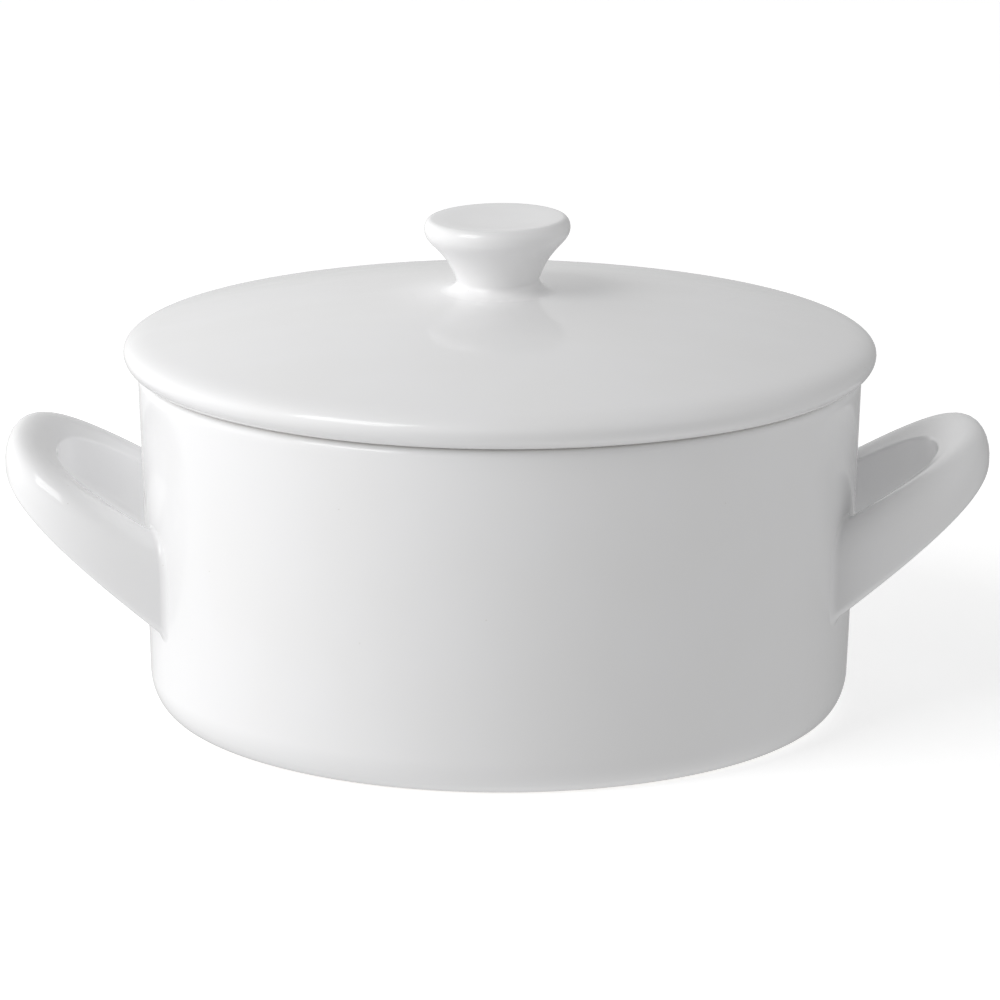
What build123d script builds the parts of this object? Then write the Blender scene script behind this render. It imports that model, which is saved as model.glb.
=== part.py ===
from build123d import *

import os
from math import cos, radians, sin, sqrt, tan

# Covered casserole dish in glazed porcelain: a round pot with two looped handles, and a domed lid
# with a flared knob. Millimetres, +Z up, origin at the centre of the base, handles along X.

# Pot
RIM_RADIUS = 110.0  # outside, at the rim
POT_HEIGHT = 104.0
WALL_TAPER = 2.6  # how much smaller the outside is where the wall meets the bottom corner
WALL = 6.0
FLOOR = 6.5
CORNER_WIDTH = 7.0  # the outside bottom corner is a quarter of an ellipse
CORNER_HEIGHT = 11.3
INSIDE_CORNER = 16.0
RIM_OUTER_ROUND = 2.2
RIM_INNER_ROUND = 1.8

# Foot ring
FOOT_WIDTH = 8.0
FOOT_DEPTH = 2.0  # how far the middle of the base stands clear of the table
FOOT_SLOPE = 3.0

# Lid
LID_RADIUS = 114.3
LID_CROWN = 23.7  # top of the dome, above the pot's rim
DOME_RADIUS = 454.0
LID_EDGE_ROUND = 4.6
LID_THICKNESS = 6.5
SEAT_RADIUS = 107.3  # outer edge of the flat ring that rests on the rim
FLANGE_CLEARANCE = 1.6  # radial play of the locating flange inside the pot
FLANGE_WIDTH = 5.0
FLANGE_DEPTH = 7.0
FLANGE_ROUND = 1.8
UNDERSIDE_ROUND = 4.0
DOME_CORE_RADIUS = 60.0  # size of the plain dome that trims the knob

# Knob, with heights above the crown of the lid
KNOB_RADIUS = 22.2
KNOB_WIDEST_HEIGHT = 19.1
KNOB_LIP_RADIUS = 19.6
KNOB_LIP_HEIGHT = 22.6
KNOB_DISH = 1.1
KNOB_WAIST = 12.6
KNOB_WAIST_HEIGHT = 3.1
KNOB_CONE = (0.46, 1.0)  # direction in which the stem leaves the waist
KNOB_FLARE = (15.9, 10.2)  # a point on the flare: radius and height
KNOB_LEAN = 1.2  # degrees, towards -X
KNOB_OFFSET = -0.6  # the knob was also set on a little off centre
KNOB_ROOT = 6.0  # length of stem below the crown, before it is trimmed to the dome
KNOB_FILLET = 3.0

# Handles: a flat loop seen from above, cut by a sloping top and a steeper underside
LOOP_CENTRE = 96.0  # where the loop is widest, from the pot's axis
LOOP_REACH = 150.3
LOOP_HALF_WIDTH = 43.4
LOOP_FULLNESS = 0.73  # 0.55 is an ellipse, more is squarer
LOOP_INSIDE_FULLNESS = 0.70
STRAP_AT_TIP = 15.7
STRAP_AT_ARMS = 15.3
STRAP_ROOT = 10.0  # how far the arms run on inside the wall before they are trimmed
TIP_TOP = 93.2  # height of the loop's top face at its tip, before rounding
TIP_UNDER = 72.8
TOP_SLOPE = 29.7
UNDER_SLOPE = 38.8
TOP_OUTER_ROUND = 7.6
INNER_BEVEL = (7.0, 4.6)  # across the top and down the inner face, so that the top falls inwards
UNDER_ROUND = 4.5
HANDLE_FILLET = 2.0
# name, turn about the pot's axis, extra reach, extra height and roll: both were set on by hand
HANDLES = (
    ("handle_right", 0, -0.7, 1.05, -0.5),
    ("handle_left", 180, 0.7, -1.05, 4.0),
)

NEAR = 0.01  # an edge this close to a height or a plane lies on it

base_radius = RIM_RADIUS - WALL_TAPER
foot_radius = base_radius - CORNER_WIDTH
floor_height = FOOT_DEPTH + FLOOR
crown_height = POT_HEIGHT + LID_CROWN
root_end = LOOP_CENTRE - STRAP_ROOT

os.makedirs("parts", exist_ok=True)


def write(part, name):
    part.label = name
    export_step(part, f"parts/{name}.step")


def circles_at(part, height):
    """Circular edges of a revolved part at one height, the smallest first."""
    edges = part.edges().filter_by(GeomType.CIRCLE)
    return edges.filter_by_position(Axis.Z, height - NEAR, height + NEAR).sort_by(SortBy.RADIUS)


# Bowl: one revolved section with a foot ring, a rounded corner and a rounded rim
with BuildPart() as bowl:
    with BuildSketch(Plane.XZ):
        with BuildLine():
            Polyline(
                (0, floor_height),
                (0, FOOT_DEPTH),
                (foot_radius - FOOT_WIDTH - FOOT_SLOPE, FOOT_DEPTH),
                (foot_radius - FOOT_WIDTH, 0),
                (foot_radius, 0),
            )
            EllipticalCenterArc(
                (foot_radius, CORNER_HEIGHT), CORNER_WIDTH, CORNER_HEIGHT, 270, arc_size=90
            )
            Polyline(
                (base_radius, CORNER_HEIGHT),
                (RIM_RADIUS, POT_HEIGHT),
                (RIM_RADIUS - WALL, POT_HEIGHT),
                (base_radius - WALL, floor_height),
                (0, floor_height),
            )
        make_face()
    revolve(axis=Axis.Z)
    fillet(circles_at(bowl, POT_HEIGHT)[0], RIM_INNER_ROUND)
    fillet(circles_at(bowl, POT_HEIGHT)[-1], RIM_OUTER_ROUND)
    fillet(circles_at(bowl, floor_height)[-1], INSIDE_CORNER)
write(bowl.part, "bowl")

# The pot's outside as a plain solid, which trims the handles to the wall
with BuildPart() as wall_core:
    with BuildSketch(Plane.XZ):
        with BuildLine():
            Polyline(
                (0, CORNER_HEIGHT),
                (base_radius, CORNER_HEIGHT),
                (RIM_RADIUS, POT_HEIGHT),
                (0, POT_HEIGHT),
                close=True,
            )
        make_face()
    revolve(axis=Axis.Z)


def loop_outline(reach, half_width, fullness):
    """Closed outline of a loop: straight inside the pot, then two curves that meet at the tip."""
    span = reach - LOOP_CENTRE
    with BuildLine() as outline:
        Line((root_end, half_width), (LOOP_CENTRE, half_width))
        Bezier(
            (LOOP_CENTRE, half_width),
            (LOOP_CENTRE + fullness * span, half_width),
            (reach, fullness * half_width),
            (reach, 0),
        )
        mirror(about=Plane.XZ)
        Line((root_end, half_width), (root_end, -half_width))
    return outline.edges()


def sloping_plane(reach, height, slope, roll):
    """Plane through the loop's tip that falls towards the pot and is rolled a little about X."""
    normal = (-tan(radians(slope)), tan(radians(roll)), 1)
    return Plane(origin=(reach, 0, height), x_dir=(0, 1, 0), z_dir=normal)


def edges_on(edges, plane):
    """Edges of a loop that lie on a plane, without those across the inner ends of its arms."""
    centres = [(edge, edge.center()) for edge in edges]
    beyond = [(edge, centre) for edge, centre in centres if centre.X > root_end + NEAR]
    return [edge for edge, centre in beyond if abs(plane.to_local_coords(centre).Z) < NEAR]


# Handles: the same loop twice, the second turned half way round the pot
for name, turn, extra_reach, extra_height, roll in HANDLES:
    reach = LOOP_REACH + extra_reach
    inside_reach = reach - STRAP_AT_TIP
    inside_half_width = LOOP_HALF_WIDTH - STRAP_AT_ARMS
    top = sloping_plane(reach, TIP_TOP + extra_height, TOP_SLOPE, roll)
    under = sloping_plane(reach, TIP_UNDER + extra_height, UNDER_SLOPE, roll)
    with BuildPart() as handle:
        with BuildSketch():
            make_face(loop_outline(reach, LOOP_HALF_WIDTH, LOOP_FULLNESS))
        extrude(amount=POT_HEIGHT)
        split(bisect_by=top, keep=Keep.BOTTOM)
        split(bisect_by=under, keep=Keep.TOP)
        fillet(edges_on(handle.edges(), top), TOP_OUTER_ROUND)
        fillet(edges_on(handle.edges(), under), UNDER_ROUND)
        with BuildSketch():
            make_face(loop_outline(inside_reach, inside_half_width, LOOP_INSIDE_FULLNESS))
        extrude(amount=POT_HEIGHT, mode=Mode.SUBTRACT)
        top_face = handle.faces().filter_by(top)[0]
        chamfer(edges_on(handle.edges(Select.LAST), top), *INNER_BEVEL, reference=top_face)
        inside = handle.edges().filter_by_position(Axis.X, root_end, inside_reach + NEAR)
        fillet(edges_on(inside, under), UNDER_ROUND)
        add(wall_core.part)
        root = handle.edges(Select.LAST).filter_by_position(Axis.X, root_end, reach)
        fillet(root.filter_by(GeomType.LINE, reverse=True), HANDLE_FILLET)
        add(wall_core.part, mode=Mode.SUBTRACT)
    write(handle.part.rotate(Axis.Z, turn), name)

# Lid: a dome whose edge rolls over to a flat seat, with a locating flange inside the rim
dome_centre = crown_height - DOME_RADIUS
edge_arc_radius = LID_RADIUS - LID_EDGE_ROUND
edge_height = dome_centre + sqrt((DOME_RADIUS - LID_EDGE_ROUND) ** 2 - edge_arc_radius**2)
dome_end = edge_arc_radius * DOME_RADIUS / (DOME_RADIUS - LID_EDGE_ROUND)
flange_outside = RIM_RADIUS - WALL - FLANGE_CLEARANCE
flange_inside = flange_outside - FLANGE_WIDTH
flange_bottom = POT_HEIGHT - FLANGE_DEPTH
underside_radius = DOME_RADIUS - LID_THICKNESS


def dome_point(radius, sphere_radius=DOME_RADIUS):
    """Point of the lid's section on a sphere about the dome's centre, at a radius from the axis."""
    return (radius, dome_centre + sqrt(sphere_radius**2 - radius**2))


def dome_arc(end_radius, sphere_radius=DOME_RADIUS):
    """Arc of the lid's section from the axis out to a radius."""
    radii = (0, end_radius / 2, end_radius)
    return ThreePointArc(*[dome_point(radius, sphere_radius) for radius in radii])


with BuildPart() as lid:
    with BuildSketch(Plane.XZ):
        with BuildLine():
            dome_arc(dome_end)
            TangentArc(
                dome_point(dome_end),
                (LID_RADIUS, edge_height),
                tangent=(edge_height - dome_centre, -edge_arc_radius),
            )
            EllipticalCenterArc(
                (SEAT_RADIUS, edge_height),
                LID_RADIUS - SEAT_RADIUS,
                edge_height - POT_HEIGHT,
                0,
                arc_size=-90,
            )
            Polyline(
                (SEAT_RADIUS, POT_HEIGHT),
                (flange_outside, POT_HEIGHT),
                (flange_outside, flange_bottom),
                (flange_inside, flange_bottom),
                dome_point(flange_inside, underside_radius),
            )
            dome_arc(flange_inside, underside_radius)
            Line(dome_point(0, underside_radius), dome_point(0))
        make_face()
    revolve(axis=Axis.Z)
    fillet(circles_at(lid, flange_bottom), FLANGE_ROUND)
    fillet(circles_at(lid, dome_point(flange_inside, underside_radius)[1]), UNDERSIDE_ROUND)
write(lid.part, "lid")

# The lid's dome as a plain solid, which trims the knob
with BuildPart() as dome_core:
    with BuildSketch(Plane.XZ):
        with BuildLine():
            dome_arc(DOME_CORE_RADIUS)
            Polyline(
                dome_point(DOME_CORE_RADIUS),
                (DOME_CORE_RADIUS, POT_HEIGHT),
                (0, POT_HEIGHT),
                dome_point(0),
            )
        make_face()
    revolve(axis=Axis.Z)

# Knob: a waisted stem that flares to a rounded lip round a shallow dish, leaning a little
lean = radians(KNOB_LEAN)
knob_plane = Plane(
    origin=(KNOB_OFFSET, 0, crown_height), x_dir=(cos(lean), 0, sin(lean)), z_dir=(0, -1, 0)
)
knob_axis = Axis((KNOB_OFFSET, 0, crown_height), (-sin(lean), 0, cos(lean)))

with BuildPart() as lid_knob:
    with BuildSketch(knob_plane):
        with BuildLine():
            Line((0, -KNOB_ROOT), (KNOB_WAIST, -KNOB_ROOT))
            Line((KNOB_WAIST, -KNOB_ROOT), (KNOB_WAIST, KNOB_WAIST_HEIGHT))
            Spline(
                (KNOB_WAIST, KNOB_WAIST_HEIGHT),
                KNOB_FLARE,
                (KNOB_RADIUS, KNOB_WIDEST_HEIGHT),
                tangents=(KNOB_CONE, (0, 1)),
            )
            EllipticalCenterArc(
                (KNOB_LIP_RADIUS, KNOB_WIDEST_HEIGHT),
                KNOB_RADIUS - KNOB_LIP_RADIUS,
                KNOB_LIP_HEIGHT - KNOB_WIDEST_HEIGHT,
                0,
                arc_size=90,
            )
            Spline(
                (KNOB_LIP_RADIUS, KNOB_LIP_HEIGHT),
                (0, KNOB_LIP_HEIGHT - KNOB_DISH),
                tangents=((-1, 0), (-1, 0)),
            )
            Line((0, KNOB_LIP_HEIGHT - KNOB_DISH), (0, -KNOB_ROOT))
        make_face()
    revolve(axis=knob_axis)
    add(dome_core.part)
    joint_edge = lid_knob.edges(Select.LAST).filter_by(GeomType.BSPLINE)
    fillet(joint_edge, KNOB_FILLET)
    add(dome_core.part, mode=Mode.SUBTRACT)
write(lid_knob.part, "lid_knob")
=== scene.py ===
from math import cos, degrees, hypot, inf, pi, radians, sin, sqrt, tan

import bpy
import numpy as np
from mathutils import Matrix, Vector


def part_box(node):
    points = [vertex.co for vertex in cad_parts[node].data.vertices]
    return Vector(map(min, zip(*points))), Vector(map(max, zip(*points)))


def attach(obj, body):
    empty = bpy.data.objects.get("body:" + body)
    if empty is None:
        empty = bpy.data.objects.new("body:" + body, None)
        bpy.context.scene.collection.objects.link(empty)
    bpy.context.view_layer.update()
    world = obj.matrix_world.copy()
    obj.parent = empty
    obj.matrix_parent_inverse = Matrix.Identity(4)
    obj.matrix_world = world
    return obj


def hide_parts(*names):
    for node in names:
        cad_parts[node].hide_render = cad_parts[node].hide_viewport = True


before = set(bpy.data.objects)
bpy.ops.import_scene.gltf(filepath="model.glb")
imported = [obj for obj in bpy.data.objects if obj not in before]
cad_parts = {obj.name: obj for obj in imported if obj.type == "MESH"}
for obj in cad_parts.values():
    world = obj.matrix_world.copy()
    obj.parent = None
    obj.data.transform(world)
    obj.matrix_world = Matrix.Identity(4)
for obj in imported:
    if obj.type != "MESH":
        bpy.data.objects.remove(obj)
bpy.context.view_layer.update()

MM = 0.001

# ---------------------------------------------------------------- sizes
lid_low, lid_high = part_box("lid")

POT_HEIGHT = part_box("bowl")[1].z
LID_RADIUS = lid_high.x
FLANGE_BOTTOM = lid_low.z
CROWN = lid_high.z
# how far a surface sinks into the one that it meets
OVERLAP = 0.01 * MM
# rows of mesh round the axis, and steps along the long flats and domes
ROUND_SEGMENTS = 320
KNOB_SEGMENTS = 160
RECESS_STEPS = 14
DOME_STEPS = 40
UNDERSIDE_STEPS = 24

# Pot section
RIM_RADIUS = 110.0 * MM
WALL = 6.0 * MM
WALL_TAPER = 2.6 * MM
CORNER = (7.0 * MM, 11.3 * MM)
FLOOR_HEIGHT = 8.5 * MM
INSIDE_CORNER = 16.0 * MM
RIM_BAND = 4.0 * MM
RIM_LEAN = 0.1 * MM
RIM_OUTER_ROUND = 2.8 * MM
RIM_INNER_ROUND = 2.0 * MM
# in from the rim's inner edge and down from it, where the rows of the inside wall start
INSIDE_START = (0.12 * MM, 5.0 * MM)

# Foot ring, whose flat ends a little short of the pot's corner
FOOT_WIDTH = 8.0 * MM
FOOT_FLAT_END = 1.2 * MM
# The recess inside the ring: how far from it the flat ends, and its bend and its slope start
RECESS_DEPTH = 2.0 * MM
RECESS_FLAT_END = 4.0 * MM
RECESS_BEND = 3.6 * MM
RECESS_SLOPE = 2.4 * MM
RECESS_ROUNDS = (1.2 * MM, 0.8 * MM)

# Lid section
DOME_RADIUS = 454.0 * MM
LID_ROUND = 9.0 * MM
LID_ROUND_PULLS = (5.6 * MM, 2.9 * MM)
LID_WIDEST_HEIGHT = 109.66 * MM
SEAT_RADIUS = 107.3 * MM
SEAT_ROUND = 0.6 * MM
LID_THICKNESS = 6.5 * MM
FLANGE_OUTSIDE = 102.4 * MM
FLANGE_INSIDE = 97.4 * MM
FLANGE_ROUND = 1.8 * MM
UNDERSIDE_ROUND = 4.0 * MM
UNDERSIDE_EDGE = 8.0 * MM

# Knob section, from its own axis and above the crown of the lid
KNOB_WAIST = (12.6 * MM, 3.1 * MM)
KNOB_STEM = ((16.5 * MM, 14.1 * MM), (22.2 * MM, 14.5 * MM))
# where the stem takes over from the foot's arc, in degrees round that arc
KNOB_STEM_START = 169
KNOB_WIDEST = (22.2 * MM, 19.1 * MM)
KNOB_LIP = (19.8 * MM, 22.3 * MM)
KNOB_DISH = 0.7 * MM
KNOB_DISH_PULLS = (14.0 * MM, 13.0 * MM)
KNOB_FOOT = (5.6 * MM, 3.1 * MM)
# the part sunk in the lid: out from where the foot's arc is centred, and up from the dome
KNOB_SUNK = (-3.0 * MM, -1.5 * MM)
KNOB_SUNK_EDGE = (0.9 * MM, -0.1 * MM)
KNOB_LEAN = radians(1.2)
KNOB_TIP_FORWARD = radians(1.5)
KNOB_OFFSET = -0.6 * MM

# Handle loop, seen from above, and the two sloping planes that bound it
LOOP_CENTRE = 96.0 * MM
LOOP_HALF_WIDTH = 43.4 * MM
LOOP_FULLNESS = 0.726
LOOP_INSIDE_FULLNESS = 0.697
LOOP_REACH = 151.2 * MM
ARM_RUN = 20 * MM
STRAP_AT_TIP = 16.6 * MM
STRAP_AT_ARMS = 15.3 * MM
TIP_TOP = 93.7 * MM
TIP_UNDER = 73.5 * MM
TOP_SLOPE = tan(radians(29.7))
UNDER_SLOPE = tan(radians(38.8))
INWARD_FALL = 5.1 * MM
OUTER_DRAFT = tan(radians(3.2))
TOP_OUTER_ROUND = 7.6 * MM
TOP_INNER_ROUND = 1.7 * MM
UNDER_ROUND = 4.5 * MM
STRAP_OVERRUN = 1.4
STRAP_STATIONS = 561
STRAP_STEPS = 132
ROOT_FLARE = 2.0 * MM
FLARE_STEPS = 12
# the flare's rings inside the wall: distance from it, and spread beyond the flare's size
FLARE_SUNK = ((-1.2 * MM, -1.6 * MM), (-0.09 * MM, 0.8 * MM))
# turn about the pot's axis, extra reach, extra height and roll: the two were set one by one
HANDLES = {
    "handle_right": (0, -0.7 * MM, 1.05 * MM, radians(-0.5)),
    "handle_left": (pi, 0.7 * MM, -1.05 * MM, radians(4.0)),
}

# Unevenness of slip-cast porcelain, in millimetres: it dies away near the rim, the foot and the axis
RIM_CALM = 25
FOOT_CALM = 20
AXIS_CALM = 60
# each swell of the radius: depth, waves round the axis, climb for each radian, and start
SWELLS = ((0.10, 3, inf, 0.6), (0.06, 5, 21, 0), (0.05, 2, 13, 0))
LIFT = 0.05
LIFT_WAVES = (19, 23)
LIFT_START = 0.8

# ---------------------------------------------------------------- section curves

# where a rounding's control points lie between the corner and its ends: close to a circle at a right angle
ARC_PULL = 0.45


def line(a, b, steps):
    """Points from a towards b, without b."""
    return [tuple(np.array(a) + (np.array(b) - np.array(a)) * i / steps) for i in range(steps)]


def quarter(centre, width, height, start, end, steps):
    """Part of an ellipse, angles in degrees, without its last point."""
    turn = [radians(start + (end - start) * i / steps) for i in range(steps)]
    return [(centre[0] + width * cos(a), centre[1] + height * sin(a)) for a in turn]


def bezier(a, b, c, d, steps):
    """Cubic curve without its last point."""
    a, b, c, d = map(np.array, (a, b, c, d))
    points = []
    for i in range(steps):
        t = i / steps
        s = 1 - t
        points.append(tuple(a * s**3 + 3 * b * s**2 * t + 3 * c * s * t**2 + d * t**3))
    return points


def rounded(points, radii, steps):
    """Polyline with each inner corner rounded by an arc-like curve of the given radius."""
    out = [tuple(points[0])]
    for before, corner, after, radius in zip(points, points[1:], points[2:], radii):
        before, corner, after = map(np.array, (before, corner, after))
        u = (before - corner) / np.linalg.norm(before - corner)
        v = (after - corner) / np.linalg.norm(after - corner)
        if radius <= 0:
            out.append(tuple(corner))
            continue
        half = np.arccos(np.clip(u @ v, -1, 1)) / 2
        reach = radius / np.tan(half)
        pull = ARC_PULL * reach
        start, end = corner + u * reach, corner + v * reach
        out += bezier(start, corner + u * pull, corner + v * pull, end, steps) + [tuple(end)]
    return out + [tuple(points[-1])]


def closed_rounded(corners, radii, arc_steps, side_steps):
    """Closed polygon with rounded corners, as an array of points."""
    count = len(corners)
    arcs = []
    for i in range(count):
        trio = [corners[i - 1], corners[i], corners[(i + 1) % count]]
        arcs.append(rounded(trio, (radii[i],), arc_steps)[1:-1])
    ring = []
    for i, arc in enumerate(arcs):
        ring += arc[:-1] + line(arc[-1], arcs[(i + 1) % count][0], side_steps)
    return np.array(ring)


# ---------------------------------------------------------------- meshes


def settle(points):
    """The points with the unevenness of the porcelain, which is the same at every run."""
    points = np.array(points, float)
    x, y, z = points.T / MM
    free = np.clip(np.abs(z - POT_HEIGHT / MM) / RIM_CALM, 0, 1) * np.clip(z / FOOT_CALM, 0, 1)
    radius = np.hypot(x, y)
    angle = np.arctan2(y, x)
    swell = sum(depth * np.sin(waves * angle + z / climb + start) for depth, waves, climb, start in SWELLS)
    scale = 1 + free * swell * np.clip(radius / AXIS_CALM, 0, 1) / np.maximum(radius, 1)
    lift = LIFT * free * np.sin(x / LIFT_WAVES[0] + LIFT_START) * np.sin(y / LIFT_WAVES[1])
    return np.stack([x * scale, y * scale, z + lift], 1) * MM


def mesh_object(name, vertices, faces):
    mesh = bpy.data.meshes.new(name)
    mesh.from_pydata([tuple(v) for v in settle(vertices)], [], faces)
    mesh.polygons.foreach_set("use_smooth", [True] * len(mesh.polygons))
    mesh.validate()
    mesh.update()
    piece = bpy.data.objects.new(name, mesh)
    bpy.context.scene.collection.objects.link(piece)
    return piece


def tube_object(name, rings):
    """Closed mesh from rings of points in order, each end closed by a fan."""
    count, size = rings.shape[:2]
    ends = [rings[0].mean(0), rings[-1].mean(0)]
    vertices = np.concatenate([rings.reshape(-1, 3), ends])
    first, last = count * size, count * size + 1
    faces = []
    for j in range(size):
        k = (j + 1) % size
        for i in range(count - 1):
            low, high = i * size, (i + 1) * size
            faces.append((low + j, high + j, high + k, low + k))
        top = (count - 1) * size
        faces += [(first, j, k), (last, top + k, top + j)]
    return mesh_object(name, vertices, faces)


def upright(radius, angles, height):
    """x, y and z of a ring straight round the axis."""
    return radius * np.cos(angles), radius * np.sin(angles), height + 0 * angles


def revolved(name, profile, segments, place=upright):
    """Closed mesh from a section that starts and ends on the axis.

    place turns a radius, angles and a height into x, y and z.
    """
    angles = np.arange(segments) * 2 * pi / segments
    rings = [np.stack(place(r, angles, z), 1) for r, z in profile[1:-1]]
    ends = [np.stack(place(r, angles[:1], z), 1) for r, z in (profile[0], profile[-1])]
    vertices = np.concatenate([ends[0], *rings, ends[1]])
    faces = []
    last = len(vertices) - 1
    for j in range(segments):
        k = (j + 1) % segments
        faces.append((0, 1 + k, 1 + j))
        for i in range(len(rings) - 1):
            low, high = 1 + i * segments, 1 + (i + 1) * segments
            faces.append((low + j, low + k, high + k, high + j))
        top = 1 + (len(rings) - 1) * segments
        faces.append((last, top + j, top + k))
    return mesh_object(name, vertices, faces)


def foot_section(foot):
    """From the middle of the recess to the outside of the foot ring's flat, at the radius foot."""
    ring = foot - FOOT_WIDTH
    flat = ring - RECESS_FLAT_END
    section = [(flat * i / RECESS_STEPS, RECESS_DEPTH) for i in range(RECESS_STEPS + 1)]
    bends = [
        (ring - RECESS_BEND, RECESS_DEPTH),
        (ring - RECESS_SLOPE, RECESS_DEPTH),
        (ring, 0),
        (foot - FOOT_FLAT_END, 0),
    ]
    return section + rounded(bends, RECESS_ROUNDS, steps=5)


def bowl_piece():
    base = RIM_RADIUS - WALL_TAPER
    foot = base - CORNER[0]
    section = foot_section(foot)
    section += quarter((foot, CORNER[1]), *CORNER, 270, 360, steps=28)[1:]
    neck = (RIM_RADIUS - RIM_LEAN, POT_HEIGHT - RIM_BAND)
    section += line((base, CORNER[1]), neck, steps=44)
    rim_inside = RIM_RADIUS - WALL
    rim = [
        neck,
        (RIM_RADIUS, POT_HEIGHT),
        (rim_inside, POT_HEIGHT),
        (rim_inside - RIM_LEAN, POT_HEIGHT - RIM_BAND),
    ]
    section += rounded(rim, (RIM_OUTER_ROUND, RIM_INNER_ROUND), steps=8)
    inside = base - WALL
    inside_start = (rim_inside - INSIDE_START[0], POT_HEIGHT - INSIDE_START[1])
    section += line(inside_start, (inside, FLOOR_HEIGHT + INSIDE_CORNER), steps=30)
    centre = (inside - INSIDE_CORNER, FLOOR_HEIGHT + INSIDE_CORNER)
    section += quarter(centre, INSIDE_CORNER, INSIDE_CORNER, 0, -90, steps=22)
    section += line((inside - INSIDE_CORNER, FLOOR_HEIGHT), (0, FLOOR_HEIGHT), steps=16)
    section += [(0, FLOOR_HEIGHT)]
    return revolved("bowl_body", section, ROUND_SEGMENTS)


def dome_height(radius, sphere=DOME_RADIUS):
    """Height of the dome, or of a smaller sphere about the same centre, at a radius."""
    return CROWN - DOME_RADIUS + np.sqrt(sphere**2 - radius**2)


def lid_piece():
    shoulder = LID_RADIUS - LID_ROUND
    shoulder_height = dome_height(shoulder)
    slope = shoulder / sqrt(DOME_RADIUS**2 - shoulder**2)
    radii = [shoulder * i / DOME_STEPS for i in range(DOME_STEPS)]
    section = [(radius, dome_height(radius)) for radius in radii]
    section += bezier(
        (shoulder, shoulder_height),
        (shoulder + LID_ROUND_PULLS[0], shoulder_height - LID_ROUND_PULLS[0] * slope),
        (LID_RADIUS, LID_WIDEST_HEIGHT + LID_ROUND_PULLS[1]),
        (LID_RADIUS, LID_WIDEST_HEIGHT),
        steps=16,
    )
    seat_curve = (LID_RADIUS - SEAT_RADIUS, LID_WIDEST_HEIGHT - POT_HEIGHT)
    section += quarter((SEAT_RADIUS, LID_WIDEST_HEIGHT), *seat_curve, 0, -90, steps=16)
    under = DOME_RADIUS - LID_THICKNESS
    inner = FLANGE_INSIDE - UNDERSIDE_EDGE
    flange = [
        (SEAT_RADIUS, POT_HEIGHT),
        (FLANGE_OUTSIDE, POT_HEIGHT),
        (FLANGE_OUTSIDE, FLANGE_BOTTOM),
        (FLANGE_INSIDE, FLANGE_BOTTOM),
        (FLANGE_INSIDE, dome_height(FLANGE_INSIDE, under)),
        (inner, dome_height(inner, under)),
    ]
    section += rounded(flange, (SEAT_ROUND, FLANGE_ROUND, FLANGE_ROUND, UNDERSIDE_ROUND), steps=7)
    radii = [inner * i / UNDERSIDE_STEPS for i in range(UNDERSIDE_STEPS - 1, -1, -1)]
    section += [(radius, dome_height(radius, under)) for radius in radii]
    return revolved("lid_body", section[::-1], ROUND_SEGMENTS)


def knob_piece():
    """The knob leans a little, and its foot flares out to meet the dome all round."""
    foot = KNOB_WAIST[0] + KNOB_FOOT[0]
    section = [(0.0, KNOB_SUNK[1]), (foot + KNOB_SUNK[0], KNOB_SUNK[1])]
    section += [(foot + KNOB_SUNK_EDGE[0], KNOB_SUNK_EDGE[1])]
    foot_arc = quarter((foot, KNOB_FOOT[1] - OVERLAP), *KNOB_FOOT, 270, KNOB_STEM_START, steps=16)
    section += foot_arc[:-1] + bezier(foot_arc[-1], *KNOB_STEM, KNOB_WIDEST, steps=30)
    lip_curve = (KNOB_WIDEST[0] - KNOB_LIP[0], KNOB_LIP[1] - KNOB_WIDEST[1])
    section += quarter((KNOB_LIP[0], KNOB_WIDEST[1]), *lip_curve, 0, 90, steps=14)
    middle = (0.0, KNOB_LIP[1] - KNOB_DISH)
    lip_pull = (KNOB_DISH_PULLS[0], KNOB_LIP[1])
    middle_pull = (KNOB_DISH_PULLS[1], middle[1])
    section += bezier(KNOB_LIP, lip_pull, middle_pull, middle, steps=20) + [middle]
    lean = np.array(Matrix.Rotation(-KNOB_LEAN, 3, "Y") @ Matrix.Rotation(KNOB_TIP_FORWARD, 3, "X"))

    def place(r, a, z):
        """Leans about the middle of the base, and follows the dome instead as it comes down to it."""
        leaned = np.stack(upright(r, a, z), 1) @ lean.T
        leaned[:, 0] += KNOB_OFFSET
        free = np.clip(z / KNOB_FOOT[1], 0, 1)
        on_dome = z + dome_height(np.hypot(leaned[:, 0], leaned[:, 1]))
        return leaned[:, 0], leaned[:, 1], free * (leaned[:, 2] + CROWN) + (1 - free) * on_dome

    return revolved("lid_knob_body", section, KNOB_SEGMENTS, place)


def wall_radius(z):
    """Outside radius of the pot at a height on its straight wall."""
    share = (z - CORNER[1]) / (POT_HEIGHT - CORNER[1])
    return RIM_RADIUS - WALL_TAPER * (1 - share)


def loop_point(t, reach, half_width, fullness):
    """Outline of the loop from above: t is 0 at the tip and 1 where an arm runs straight."""
    t = np.asarray(t, float)
    side = np.where(t < 0, -1.0, 1.0)
    t = np.abs(t)
    inside = np.maximum(t - 1, 0) * ARM_RUN
    t = np.minimum(t, 1)
    s = 1 - t
    span = reach - LOOP_CENTRE
    x = reach * (s**3 + 3 * s**2 * t) + 3 * s * t**2 * (LOOP_CENTRE + fullness * span) + t**3 * LOOP_CENTRE
    y = 3 * s**2 * t * fullness * half_width + 3 * s * t**2 * half_width + t**3 * half_width
    return x - inside, side * y


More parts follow.
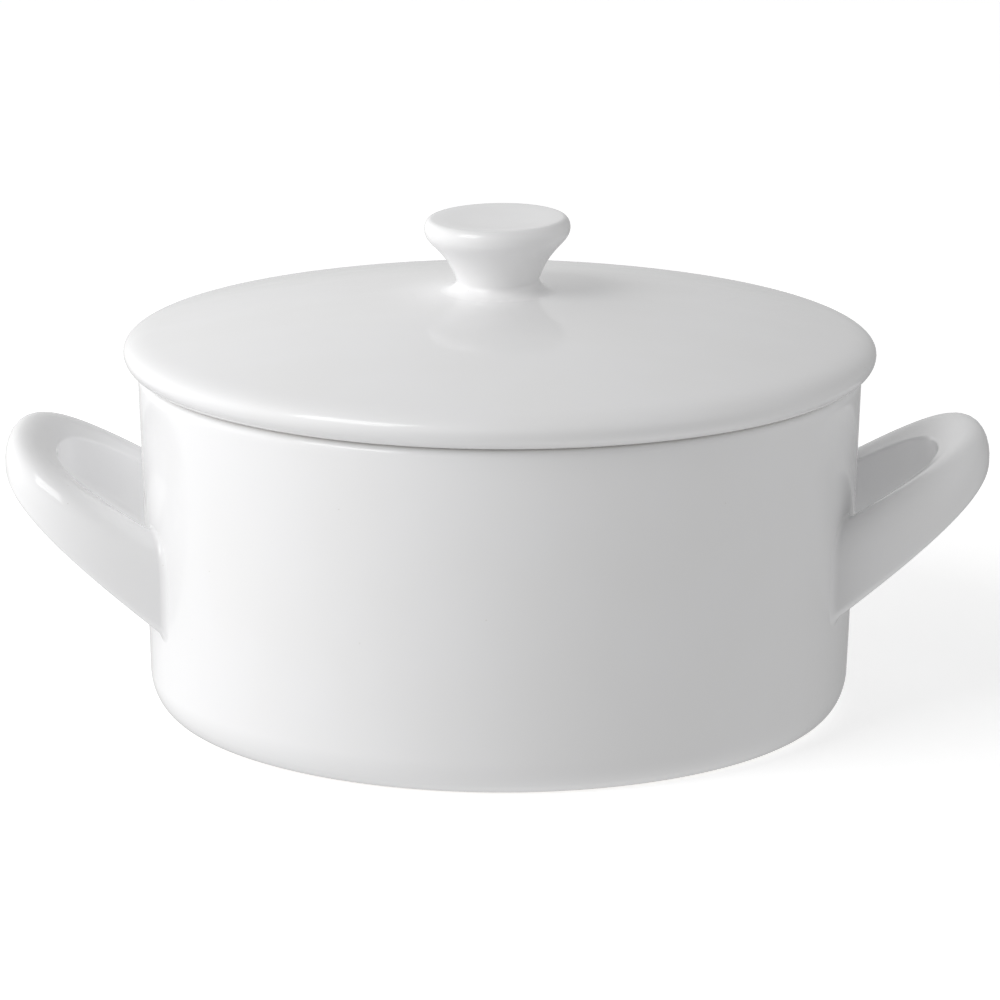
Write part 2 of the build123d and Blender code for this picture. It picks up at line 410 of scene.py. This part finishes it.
def strap_section(t, reach, lift, roll):
    """Rounded section of the strap at t, as points in space, the same number at every t."""
    outer = np.array(loop_point(t, reach, LOOP_HALF_WIDTH, LOOP_FULLNESS))
    inner = np.array(
        loop_point(t, reach - STRAP_AT_TIP, LOOP_HALF_WIDTH - STRAP_AT_ARMS, LOOP_INSIDE_FULLNESS)
    )
    across = outer - inner
    width = np.linalg.norm(across)

    def height(point, tip, slope):
        return tip + lift - (reach - point[0]) * slope - point[1] * tan(roll)

    low_inner, low_outer = (height(p, TIP_UNDER, UNDER_SLOPE) for p in (inner, outer))
    high_inner, high_outer = (height(p, TIP_TOP, TOP_SLOPE) for p in (inner, outer))
    drawn_in = OUTER_DRAFT * (high_outer - low_outer)
    corners = [
        (0, low_inner),
        (width - drawn_in, low_outer),
        (width, high_outer),
        (0, high_inner - INWARD_FALL),
    ]
    radii = (UNDER_ROUND, UNDER_ROUND, TOP_OUTER_ROUND, TOP_INNER_ROUND)
    ring = closed_rounded(corners, radii, arc_steps=12, side_steps=6)
    plan = inner + (across / width) * ring[:, :1]
    return np.stack([plan[:, 0], plan[:, 1], ring[:, 1]], 1)


def flare_profile(size, steps):
    """(distance from the wall, spread along it) for each ring of a flare, from inside the wall outwards."""
    rings = [(gap, size + extra) for gap, extra in FLARE_SUNK]
    for i in range(steps):
        turn = i / steps * pi / 2
        rings.append((size * (1 - cos(turn)) - OVERLAP, size * (1 - sin(turn))))
    return rings


def outward_normals(grid):
    """Normals of a tube of rings, pointing away from the middle of each ring."""
    along = np.gradient(grid, axis=0)
    around = np.roll(grid, -1, 1) - np.roll(grid, 1, 1)
    normal = np.cross(around, along)
    normal /= np.linalg.norm(normal, axis=2, keepdims=True)
    middle = grid.mean(axis=1, keepdims=True)
    return normal if ((grid - middle) * normal).sum() > 0 else -normal


def between(stations, values, t):
    """Point or normal at t, from those at the stations."""
    return np.array([np.interp(t, stations, column) for column in values.T])


def arm_line(distance, stations):
    """Distances from the wall and their stations along one arm, from the wall out, never turning back."""
    near = np.minimum.accumulate(distance)
    keep = np.concatenate([[True], np.diff(near) < 0])
    return distance[keep][::-1], stations[keep][::-1]


def flare(arm, stations, points, normals):
    """One row of an arm's flare, from inside the wall out to the plain strap."""
    row = []
    for gap, spread in flare_profile(ROOT_FLARE, FLARE_STEPS):
        where = np.interp(max(gap, 0), *arm)
        point, out = between(stations, points, where), between(stations, normals, where)
        radial = Vector((point[0], point[1], 0)).normalized()
        out = Vector(out) - radial * Vector(out).dot(radial)
        point = Vector(point) + out.normalized() * spread
        scale = (wall_radius(point.z) + gap) / hypot(point.x, point.y)
        row.append((point.x * scale, point.y * scale, point.z))
    return row


def strap_row(stations, points, normals, away):
    """One row of points along the whole strap, from inside the wall to inside the wall."""
    tip = len(stations) // 2
    halves = (np.arange(tip, -1, -1), np.arange(tip, len(stations)))
    arms = [arm_line(away[half], stations[half]) for half in halves]
    start, end = (np.interp(ROOT_FLARE, *arm) for arm in arms)
    body = [tuple(between(stations, points, t)) for t in np.linspace(start, end, STRAP_STEPS + 1)]
    first, last = (flare(arm, stations, points, normals) for arm in arms)
    return first + body + last[::-1]


def handle_piece(name, turn, extra_reach, lift, roll):
    """A loop of rounded strap whose two ends flare on to the pot's wall."""
    stations = np.linspace(-STRAP_OVERRUN, STRAP_OVERRUN, STRAP_STATIONS)
    reach = LOOP_REACH + extra_reach
    grid = np.array([strap_section(t, reach, lift, roll) for t in stations])
    normal = outward_normals(grid)
    away = np.hypot(grid[..., 0], grid[..., 1]) - wall_radius(grid[..., 2])
    rows = [strap_row(stations, grid[:, j], normal[:, j], away[:, j]) for j in range(grid.shape[1])]
    tube = np.array(rows).transpose(1, 0, 2)
    turned = tube.reshape(-1, 3) @ np.array(Matrix.Rotation(turn, 3, "Z")).T
    return tube_object(name, turned.reshape(tube.shape))


# ---------------------------------------------------------------- materials

GLAZE = (0.880, 0.880, 0.886)
GLAZE_THIN = (0.864, 0.861, 0.860)
BISQUE = (0.80, 0.775, 0.735)
SPECK = (0.60, 0.57, 0.53)
GLAZE_IOR = 1.5
BISQUE_ROUGHER = 0.62

# Sizes of the features in the coat, and the depths of those that stand up
COAT_PATCH = 38 * MM
GLOSS_PATCH = 16 * MM
SMEAR = 1.6 * MM
SPECK_SPACING = 11 * MM
WAVE = 24 * MM
WAVE_DEPTH = 0.10 * MM
PEEL = 2.4 * MM
PEEL_DEPTH = 0.004 * MM
GRAIN = 0.35 * MM
GRAIN_DEPTH = 0.03 * MM

# The ragged edges between the coat and the bare biscuit
EDGE_WANDER = 0.5 * MM
EDGE_BAND = (0.1 * MM, 0.4 * MM)
BEYOND_BAND = 0.3 * MM
# the bottom of the foot ring is bare, and so are the lid's seat and flange
FOOT_BARE_BELOW = 0.6 * MM
FOOT_BARE_BEYOND = 80 * MM
SEAT_BARE_BELOW = POT_HEIGHT + 0.2 * MM
SEAT_BARE_BEYOND = FLANGE_OUTSIDE - 0.6 * MM


class Nodes:
    """Short calls for the nodes of one tree."""

    def __init__(self, tree):
        self.tree = tree

    def add(self, kind, inputs=None, **settings):
        node = self.tree.nodes.new(kind)
        for key, value in settings.items():
            setattr(node, key, value)
        for key, value in (inputs or {}).items():
            self.feed(node.inputs[key], value)
        return node

    def feed(self, socket, value):
        """Links a socket to another one, or sets it."""
        if isinstance(value, bpy.types.NodeSocket):
            self.tree.links.new(value, socket)
        else:
            socket.default_value = value

    def noise(self, place, size, detail=2.0):
        """Noise about 0.5 whose features are about the given size."""
        inputs = {"Vector": place, "Scale": 1 / size, "Detail": detail}
        return self.add("ShaderNodeTexNoise", inputs).outputs["Fac"]

    def ramp(self, value, low, high, start=0.0, end=1.0):
        """Smooth change from start to end while value goes from low to high."""
        inputs = {"Value": value, "From Min": low, "From Max": high, "To Min": start, "To Max": end}
        kind = "SMOOTHSTEP"
        return self.add("ShaderNodeMapRange", inputs, interpolation_type=kind).outputs["Result"]

    def maths(self, operation, a, b=0.0, c=0.0):
        return self.add("ShaderNodeMath", {0: a, 1: b, 2: c}, operation=operation).outputs[0]

    def blend(self, amount, a, b):
        """Colour a, going over to colour b as amount rises to 1."""
        node = self.add("ShaderNodeMix", {0: amount}, data_type="RGBA")
        sockets = [socket for socket in node.inputs if socket.type == "RGBA"]
        for socket, value in zip(sockets, (a, b)):
            self.feed(socket, (*value, 1) if isinstance(value, tuple) else value)
        return next(socket for socket in node.outputs if socket.type == "RGBA")


def glaze_material(name, bare_below, bare_beyond):
    """White glaze, and bare biscuit lower than one height and further from the axis than one radius."""
    material = bpy.data.materials.new(name)
    material.use_nodes = True
    n = Nodes(material.node_tree)
    shader = material.node_tree.nodes["Principled BSDF"]
    place = n.add("ShaderNodeTexCoord").outputs["Object"]
    x, y, z = n.add("ShaderNodeSeparateXYZ", {0: place}).outputs
    radius = n.maths("SQRT", n.maths("ADD", n.maths("POWER", x, 2.0), n.maths("POWER", y, 2.0)))
    grain = n.noise(place, GRAIN, 3.0)
    edge = n.maths("MULTIPLY_ADD", grain, EDGE_WANDER, z)
    low = n.ramp(edge, bare_below + EDGE_BAND[0], bare_below + EDGE_BAND[1], 1.0, 0.0)
    bare = n.maths("MULTIPLY", low, n.ramp(radius, bare_beyond, bare_beyond + BEYOND_BAND))

    # the coat is thinner on sharp edges and uneven by a percent elsewhere, with a few faint specks
    sharp = n.ramp(n.add("ShaderNodeNewGeometry").outputs["Pointiness"], 0.51, 0.60, 0.0, 0.6)
    uneven = n.ramp(n.noise(place, COAT_PATCH), 0.35, 0.65, 0.0, 0.5)
    colour = n.blend(n.maths("MAXIMUM", sharp, uneven), GLAZE, GLAZE_THIN)
    cells = n.add("ShaderNodeTexVoronoi", {"Vector": place, "Scale": 1 / SPECK_SPACING})
    speck = n.ramp(cells.outputs["Distance"], 0.012, 0.022, 0.5, 0.0)
    colour = n.blend(speck, colour, SPECK)
    n.feed(shader.inputs["Base Color"], n.blend(bare, colour, BISQUE))

    gloss = n.ramp(n.noise(place, GLOSS_PATCH), 0.3, 0.7, 0.085, 0.135)
    smear = n.ramp(n.noise(place, SMEAR), 0.4, 0.75, 0.0, 0.02)
    polish = n.maths("ADD", gloss, smear)
    n.feed(shader.inputs["Roughness"], n.maths("MULTIPLY_ADD", bare, BISQUE_ROUGHER, polish))

    # long waves and orange peel in the glaze, and the grain of the biscuit where it is bare
    waves = n.maths("MULTIPLY", n.noise(place, WAVE, 1.0), WAVE_DEPTH)
    peel = n.maths("MULTIPLY_ADD", n.noise(place, PEEL, 1.0), PEEL_DEPTH, waves)
    gritty = n.maths("MULTIPLY", n.maths("MULTIPLY", grain, bare), GRAIN_DEPTH)
    height = n.maths("ADD", peel, gritty)
    bump = n.add("ShaderNodeBump", {"Height": height, "Strength": 1.0, "Distance": 1.0})
    n.feed(shader.inputs["Normal"], bump.outputs["Normal"])
    shader.inputs["IOR"].default_value = GLAZE_IOR
    return material


dish_glaze = glaze_material("white_glaze_dish", FOOT_BARE_BELOW, FOOT_BARE_BEYOND)
lid_glaze = glaze_material("white_glaze_lid", SEAT_BARE_BELOW, SEAT_BARE_BEYOND)

# ---------------------------------------------------------------- the dish

pieces = [(bowl_piece(), "dish", "bowl"), (lid_piece(), "lid", "lid"), (knob_piece(), "lid", "lid_knob")]
pieces += [(handle_piece(f"{node}_strap", *how), "dish", node) for node, how in HANDLES.items()]
for piece, body, node in pieces:
    piece.data.materials.append(lid_glaze if body == "lid" else dish_glaze)
    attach(piece, body)
    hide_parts(node)

# ---------------------------------------------------------------- stage, light and camera

FLOOR_SIZE = 12.0
FLOOR_BELOW = 0.05 * MM
FLOOR_COLOUR = (0.9, 0.9, 0.9, 1)
FLOOR_ROUGHNESS = 0.9
FLOOR_GLOW = 0.45

# Light that the white studio gives back, a patch at a time: azimuth, elevation and strength. The left
# side is even from its back to its front, and what the floor gives is brightest.
WALL_ELEVATION = 12
LEFT_WALL = 0.9
RIGHT_WALL = 0.95
BACK_WALL = 0.4
FRONT_RIGHT = 0.2
PALE_FLOOR = 1.25
PATCHES = [(azimuth, WALL_ELEVATION, LEFT_WALL) for azimuth in (135, 180, 225)]
PATCHES += [(0, WALL_ELEVATION, RIGHT_WALL), (90, WALL_ELEVATION, BACK_WALL)]
PATCHES += [(315, WALL_ELEVATION, FRONT_RIGHT), (0, -90, PALE_FLOOR)]
PATCH_FALLOFF = 3.0

# The key light
KEY_AZIMUTH = 219
KEY_ELEVATION = 40
KEY_DISTANCE = 1.9
KEY_SIZE = 1.0
KEY_POWER = 11.9
KEY_AIM = Vector((0, 0, POT_HEIGHT * 0.75))

# The camera, which is placed and aimed from the middle of the pot's rim
LENS = 171.0
SENSOR = 36.0
ELEVATION = radians(12.71)
DISTANCE = 1.4477
AIM_BELOW = radians(1.627)
AIM_LEFT = radians(0.0094)
ROLL = radians(0.25)


def direction(azimuth, elevation):
    """Unit vector towards a place given in degrees."""
    turn, rise = radians(azimuth), radians(elevation)
    return Vector((cos(rise) * cos(turn), cos(rise) * sin(turn), sin(rise)))


def floor_piece():
    bpy.ops.mesh.primitive_plane_add(size=FLOOR_SIZE)
    floor = bpy.context.object
    floor.name = "floor"
    floor.location.z = -FLOOR_BELOW
    material = bpy.data.materials.new("pale_floor")
    material.use_nodes = True
    shader = material.node_tree.nodes["Principled BSDF"]
    shader.inputs["Base Color"].default_value = FLOOR_COLOUR
    shader.inputs["Roughness"].default_value = FLOOR_ROUGHNESS
    shader.inputs["Emission Color"].default_value = (1, 1, 1, 1)
    shader.inputs["Emission Strength"].default_value = FLOOR_GLOW
    floor.data.materials.append(material)
    # the floor shows the dish's shadow, and the world stands in for the light that it would give back
    floor.visible_diffuse = False
    floor.visible_glossy = False
    floor.visible_shadow = False


def key_light():
    data = bpy.data.lights.new("key", "AREA")
    data.size = KEY_SIZE
    data.energy = KEY_POWER
    light = bpy.data.objects.new("key", data)
    toward = direction(KEY_AZIMUTH, KEY_ELEVATION)
    light.location = KEY_AIM + toward * KEY_DISTANCE
    light.rotation_mode = "QUATERNION"
    light.rotation_quaternion = toward.to_track_quat("Z", "Y")
    bpy.context.scene.collection.objects.link(light)


def studio_world():
    """A world lit by a few broad, soft patches."""
    world = bpy.data.worlds.new("studio")
    world.use_nodes = True
    n = Nodes(world.node_tree)
    looking = n.add("ShaderNodeTexCoord").outputs["Generated"]
    total = 0.0
    for azimuth, elevation, strength in PATCHES:
        inputs = {0: looking, 1: direction(azimuth, elevation)}
        facing = n.add("ShaderNodeVectorMath", inputs, operation="DOT_PRODUCT").outputs["Value"]
        patch = n.maths("POWER", n.maths("MAXIMUM", facing, 0.0), PATCH_FALLOFF)
        total = n.maths("MULTIPLY_ADD", patch, strength, total)
    background = world.node_tree.nodes["Background"]
    n.feed(background.inputs["Strength"], total)
    background.inputs["Color"].default_value = (1, 1, 1, 1)
    bpy.context.scene.world = world


def camera():
    data = bpy.data.cameras.new("camera")
    data.sensor_width = SENSOR
    data.lens = LENS
    eye = bpy.data.objects.new("camera", data)
    bpy.context.scene.collection.objects.link(eye)
    place = Vector((0, 0, POT_HEIGHT)) + direction(-90, degrees(ELEVATION)) * DISTANCE
    eye.matrix_world = (
        Matrix.Translation(place)
        @ Matrix.Rotation(-AIM_LEFT, 4, "Z")
        @ Matrix.Rotation(pi / 2 - ELEVATION - AIM_BELOW, 4, "X")
        @ Matrix.Rotation(ROLL, 4, "Z")
    )
    bpy.context.scene.camera = eye


floor_piece()
key_light()
studio_world()
camera()
bpy.context.scene.view_settings.view_transform = "Standard"
